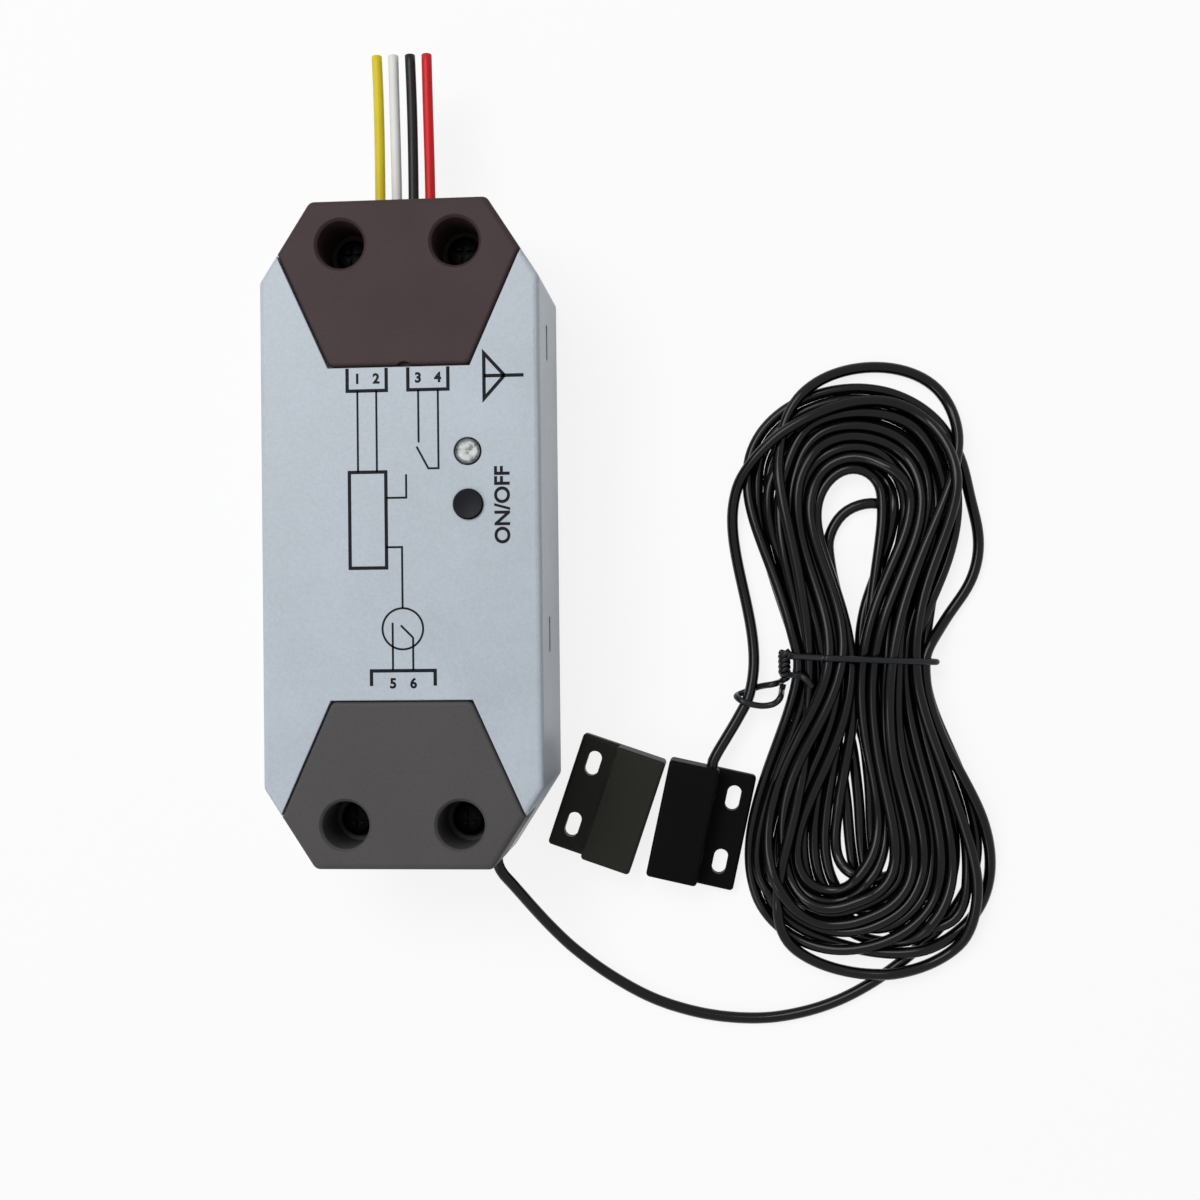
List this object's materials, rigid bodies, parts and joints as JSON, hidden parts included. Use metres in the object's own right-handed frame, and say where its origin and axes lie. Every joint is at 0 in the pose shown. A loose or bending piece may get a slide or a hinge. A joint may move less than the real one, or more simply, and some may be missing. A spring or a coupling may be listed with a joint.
{
  "type": "garage door controller",
  "caption": "Relay box with a push button, status light and cut leads, and a hank of sensor cord ending in a reed switch with its magnet.",
  "frame": {"origin": "middle of the box's flat back face, on the surface that box, cord and door contact lie on", "axes": "+Y along the box towards the four leads, +Z out of the front panel, +X towards the hank"},
  "size_m": [0.1079, 0.1512, 0.0247],
  "materials": {
    "housing_grey": "fine moulded texture",
    "cover_brown_grey": "fine moulded texture",
    "black_plastic": "satin",
    "clear_plastic": "clear, frosted end",
    "board_green": "solder mask",
    "radio_blue": "solder mask",
    "tin_plate": "plated",
    "black_screw": "black finish",
    "zinc_screw": "zinc plated",
    "ferrite": "matt",
    "winding_tape": "tape over wire",
    "capacitor_sleeve": "shrink sleeve",
    "fuse_green": "coated",
    "varistor_blue": "coated",
    "terminal_green": "moulded",
    "led_white": "matt",
    "plunger_cream": "moulded",
    "insulation_yellow": "satin",
    "insulation_white": "satin",
    "insulation_black": "satin",
    "insulation_red": "satin",
    "copper": "bare wire",
    "core_red": "satin",
    "cord_black": "glossy",
    "tie_black": "coated wire",
    "contact_black": "satin",
    "potting": "cast resin",
    "reed_glass": "clear tube",
    "magnet_metal": "ground"
  },
  "bodies": {
    "housing": {"base_case": "housing_grey", "top_cover": "housing_grey", "line_terminal_cover": "cover_brown_grey", "sensor_terminal_cover": "cover_brown_grey", "cover_screws": "black_screw", "switch_body": "black_plastic", "light_pipe": "clear_plastic", "status_led": "led_white", "circuit_board": "board_green", "board_screws": "zinc_screw", "radio_module": "radio_blue", "radio_shield": "tin_plate", "relay": "black_plastic", "transformer_core": "ferrite", "transformer_winding": "winding_tape", "capacitors": "capacitor_sleeve", "fuse": "fuse_green", "varistor": "varistor_blue", "line_terminal_block": "terminal_green", "sensor_terminal_block": "terminal_green", "terminal_screws": "zinc_screw", "lead_yellow": "insulation_yellow", "lead_white": "insulation_white", "lead_black": "insulation_black", "lead_red": "insulation_red", "lead_conductors": "copper", "cord_cores": "core_red", "cord_lead": "cord_black", "cord_hank": "cord_black", "cord_tail": "cord_black", "hank_tie": "tie_black", "reed_case": "contact_black", "reed_potting": "potting", "reed_switch": "reed_glass"},
    "button": {"button_cap": "black_plastic", "switch_plunger": "plunger_cream"},
    "magnet": {"magnet_case": "contact_black", "magnet_potting": "potting", "bar_magnet": "magnet_metal"}
  },
  "joints": [
    {"name": "button_press", "type": "slide", "parent": "housing", "child": "button", "axis": [0, 0, -1], "range_m": [0, 0.0005], "stiffness_N_per_m": 2000, "springref_m": -0.0004},
    {"name": "magnet_slide", "type": "slide", "parent": "housing", "child": "magnet", "axis": [0.3256, 0.9455, 0], "range_m": [0, 0.025]}
  ]
}
